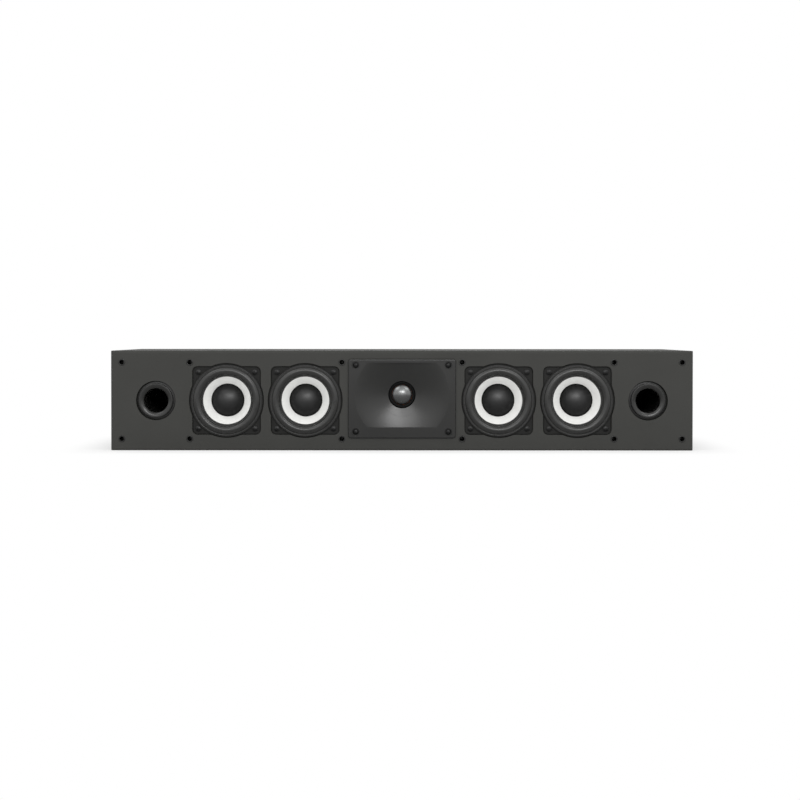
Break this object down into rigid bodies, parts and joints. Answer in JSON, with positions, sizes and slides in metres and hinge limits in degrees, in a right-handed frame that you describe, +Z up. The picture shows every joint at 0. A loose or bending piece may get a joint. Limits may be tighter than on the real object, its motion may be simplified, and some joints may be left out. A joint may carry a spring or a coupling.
{
  "type": "center channel speaker",
  "caption": "Slim wide black centre-channel loudspeaker with white-coned woofers either side of a dome tweeter in a shallow horn, a bass port at each end and screw terminals at the back.",
  "frame": {"origin": "middle of the bottom of the whole part's box, on the surface that it stands on", "axes": "+X to the right seen from the front, along the cabinet's width; the front faces -Y; +Z up"},
  "size_m": [0.595, 0.1771, 0.102],
  "materials": {
    "black_vinyl_board": "matte",
    "bare_board": "matte",
    "black_pressed_steel": "satin",
    "black_rubber": "satin",
    "white_paper_cone": "matte",
    "black_dust_cap": "satin",
    "spider_cloth": "matte",
    "coil_wire": "satin",
    "gasket_foam": "matte",
    "zinc_plate": "satin",
    "ferrite": "matte",
    "black_screw": "satin",
    "black_moulding": "satin",
    "silver_dome": "satin",
    "dome_cloth": "satin",
    "tag_board": "matte",
    "brass": "satin",
    "red_cap": "gloss",
    "black_cap": "gloss",
    "board_laminate": "satin",
    "can_sleeve": "satin",
    "cement": "matte",
    "wadding_fibre": "matte"
  },
  "bodies": {
    "cabinet": {"cabinet_wrap": "black_vinyl_board", "front_baffle": "black_vinyl_board", "back_panel": "black_vinyl_board", "brace_left": "bare_board", "brace_right": "bare_board", "wadding_left": "wadding_fibre", "wadding_right": "wadding_fibre", "woofer_gaskets": "gasket_foam", "woofer_top_plates": "zinc_plate", "woofer_magnets": "ferrite", "woofer_yokes": "zinc_plate", "woofer_screws": "black_screw", "waveguide": "black_moulding", "tweeter_surround": "dome_cloth", "tweeter_top_plate": "zinc_plate", "tweeter_magnet": "ferrite", "tweeter_yoke": "zinc_plate", "waveguide_screws": "black_screw", "driver_tags": "tag_board", "port_left": "black_moulding", "port_right": "black_moulding", "peg_sockets": "black_moulding", "terminal_cup": "black_moulding", "terminal_cup_screws": "black_screw", "binding_post_studs": "brass", "stud_nuts": "brass", "crossover_board": "board_laminate", "crossover_inductors": "coil_wire", "crossover_capacitors": "can_sleeve", "crossover_resistor": "cement", "woofer_1_basket": "black_pressed_steel", "woofer_1_surround": "black_rubber", "woofer_1_spider": "spider_cloth", "woofer_2_basket": "black_pressed_steel", "woofer_2_surround": "black_rubber", "woofer_2_spider": "spider_cloth", "woofer_3_basket": "black_pressed_steel", "woofer_3_surround": "black_rubber", "woofer_3_spider": "spider_cloth", "woofer_4_basket": "black_pressed_steel", "woofer_4_surround": "black_rubber", "woofer_4_spider": "spider_cloth"},
    "woofer_1_diaphragm": {"woofer_1_cone": "white_paper_cone", "woofer_1_dust_cap": "black_dust_cap", "woofer_1_voice_coil": "coil_wire"},
    "woofer_2_diaphragm": {"woofer_2_cone": "white_paper_cone", "woofer_2_dust_cap": "black_dust_cap", "woofer_2_voice_coil": "coil_wire"},
    "woofer_3_diaphragm": {"woofer_3_cone": "white_paper_cone", "woofer_3_dust_cap": "black_dust_cap", "woofer_3_voice_coil": "coil_wire"},
    "woofer_4_diaphragm": {"woofer_4_cone": "white_paper_cone", "woofer_4_dust_cap": "black_dust_cap", "woofer_4_voice_coil": "coil_wire"},
    "tweeter_diaphragm": {"tweeter_dome": "silver_dome", "tweeter_voice_coil": "coil_wire"},
    "red_post_sleeve": {"red_post_insert": "brass"},
    "red_post_knob": {"red_post_cap": "red_cap"},
    "black_post_sleeve": {"black_post_insert": "brass"},
    "black_post_knob": {"black_post_cap": "black_cap"}
  },
  "joints": [
    {"name": "woofer_1_excursion", "type": "slide", "parent": "cabinet", "child": "woofer_1_diaphragm", "axis": [0, -1, 0], "range_m": [-0.0025, 0.0025], "stiffness_N_per_m": 900, "deforming": ["woofer_1_surround", "woofer_1_spider"]},
    {"name": "woofer_2_excursion", "type": "slide", "parent": "cabinet", "child": "woofer_2_diaphragm", "axis": [0, -1, 0], "range_m": [-0.0025, 0.0025], "stiffness_N_per_m": 900, "deforming": ["woofer_2_surround", "woofer_2_spider"]},
    {"name": "woofer_3_excursion", "type": "slide", "parent": "cabinet", "child": "woofer_3_diaphragm", "axis": [0, -1, 0], "range_m": [-0.0025, 0.0025], "stiffness_N_per_m": 900, "deforming": ["woofer_3_surround", "woofer_3_spider"]},
    {"name": "woofer_4_excursion", "type": "slide", "parent": "cabinet", "child": "woofer_4_diaphragm", "axis": [0, -1, 0], "range_m": [-0.0025, 0.0025], "stiffness_N_per_m": 900, "deforming": ["woofer_4_surround", "woofer_4_spider"]},
    {"name": "tweeter_excursion", "type": "slide", "parent": "cabinet", "child": "tweeter_diaphragm", "axis": [0, -1, 0], "range_m": [-0.0003, 0.0003], "stiffness_N_per_m": 600, "deforming": ["tweeter_surround"]},
    {"name": "red_post_lift", "type": "slide", "parent": "cabinet", "child": "red_post_sleeve", "axis": [0, 1, 0], "range_m": [0, 0.004]},
    {"name": "red_post_turn", "type": "hinge", "parent": "red_post_sleeve", "child": "red_post_knob", "pos_m": [0.00953, 0.06445, 0.051], "axis": [0, 1, 0], "range_deg": [0, 1440]},
    {"name": "black_post_lift", "type": "slide", "parent": "cabinet", "child": "black_post_sleeve", "axis": [0, 1, 0], "range_m": [0, 0.004]},
    {"name": "black_post_turn", "type": "hinge", "parent": "black_post_sleeve", "child": "black_post_knob", "pos_m": [-0.00953, 0.06445, 0.051], "axis": [0, 1, 0], "range_deg": [0, 1440]}
  ],
  "couplings": [
    {"joint": "red_post_turn", "follows": "red_post_lift", "rad_per_m": 6283.2},
    {"joint": "black_post_turn", "follows": "black_post_lift", "rad_per_m": 6283.2}
  ]
}
